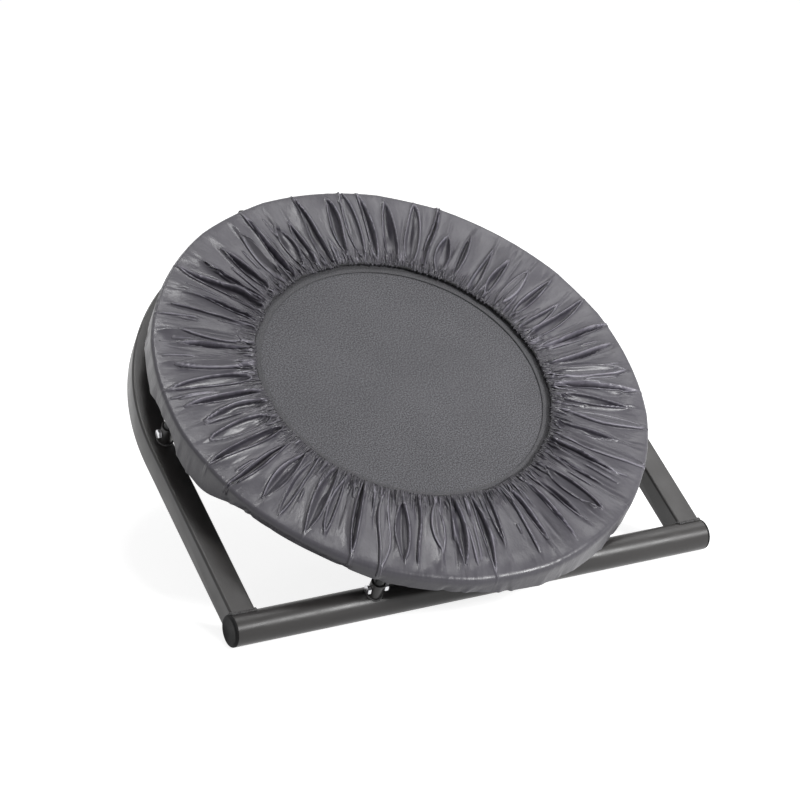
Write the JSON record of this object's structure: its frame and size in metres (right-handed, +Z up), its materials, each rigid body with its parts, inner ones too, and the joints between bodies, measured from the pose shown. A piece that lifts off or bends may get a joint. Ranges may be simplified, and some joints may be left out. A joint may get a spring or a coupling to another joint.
{
  "type": "medicine ball rebounder",
  "caption": "Round trampoline with a gathered skirt, bolted over a leaning horseshoe of square tube on a round floor tube, with a pivoting rack bracket behind.",
  "frame": {"origin": "middle of the bracket's rack face, where the channel's web meets the rack upright", "axes": "+Z up, +Y into the rack upright and away from the thrower, +X to the thrower's right"},
  "size_m": [1.042, 1.067, 0.6074],
  "materials": {
    "frame_paint": "charcoal powder coat, satin",
    "rim_paint": "black powder coat, satin",
    "cap_plastic": "moulded black plastic",
    "zinc_plate": "bright zinc plate",
    "spring_steel": "drawn wire, zinc plated",
    "woven_mat": "tight plastic weave, matte",
    "webbing": "woven strap, stitched",
    "skirt_nylon": "thin coated nylon with a sheen",
    "elastic": "covered elastic cord",
    "bush_nylon": "natural nylon"
  },
  "bodies": {
    "frame": {"front_tube": "frame_paint", "end_cap_left": "cap_plastic", "end_cap_right": "cap_plastic", "hoop_frame": "frame_paint", "rim_frame": "rim_paint", "socket_bolt_front_left": "zinc_plate", "socket_bolt_front_right": "zinc_plate", "socket_bolt_side_left": "zinc_plate", "socket_bolt_side_right": "zinc_plate", "socket_bolt_rear_left": "zinc_plate", "socket_bolt_rear_right": "zinc_plate", "socket_nut_front_left": "zinc_plate", "socket_nut_front_right": "zinc_plate", "socket_nut_side_left": "zinc_plate", "socket_nut_side_right": "zinc_plate", "socket_nut_rear_left": "zinc_plate", "socket_nut_rear_right": "zinc_plate", "spring_01": "spring_steel", "spring_02": "spring_steel", "spring_03": "spring_steel", "spring_04": "spring_steel", "spring_05": "spring_steel", "spring_06": "spring_steel", "spring_07": "spring_steel", "spring_08": "spring_steel", "spring_09": "spring_steel", "spring_10": "spring_steel", "spring_11": "spring_steel", "spring_12": "spring_steel", "spring_13": "spring_steel", "spring_14": "spring_steel", "spring_15": "spring_steel", "spring_16": "spring_steel", "spring_17": "spring_steel", "spring_18": "spring_steel", "spring_19": "spring_steel", "spring_20": "spring_steel", "spring_21": "spring_steel", "spring_22": "spring_steel", "spring_23": "spring_steel", "spring_24": "spring_steel", "spring_25": "spring_steel", "spring_26": "spring_steel", "spring_27": "spring_steel", "spring_28": "spring_steel", "spring_29": "spring_steel", "spring_30": "spring_steel", "skirt": "skirt_nylon", "hem_elastic": "elastic", "pivot_bolt": "zinc_plate", "pivot_nut": "zinc_plate", "pivot_washer_left": "zinc_plate", "pivot_washer_right": "zinc_plate"},
    "bed": {"mat": "woven_mat", "webbing_top": "webbing", "webbing_bottom": "webbing"},
    "bracket": {"rack_channel": "frame_paint", "bracket_arm": "frame_paint", "pivot_bush_left": "bush_nylon", "pivot_bush_right": "bush_nylon"}
  },
  "joints": [
    {"name": "mat_bounce", "type": "slide", "parent": "frame", "child": "bed", "axis": [0, -0.515, 0.8572], "range_m": [-0.07, 0], "stiffness_N_per_m": 5000, "deforming": ["spring_01", "spring_02", "spring_03", "spring_04", "spring_05", "spring_06", "spring_07", "spring_08", "spring_09", "spring_10", "spring_11", "spring_12", "spring_13", "spring_14", "spring_15", "spring_16", "spring_17", "spring_18", "spring_19", "spring_20", "spring_21", "spring_22", "spring_23", "spring_24", "spring_25", "spring_26", "spring_27", "spring_28", "spring_29", "spring_30"]},
    {"name": "bracket_tilt", "type": "hinge", "parent": "frame", "child": "bracket", "pos_m": [0, -0.038, 0.072], "axis": [1, 0, 0], "range_deg": [-30, 20]}
  ]
}
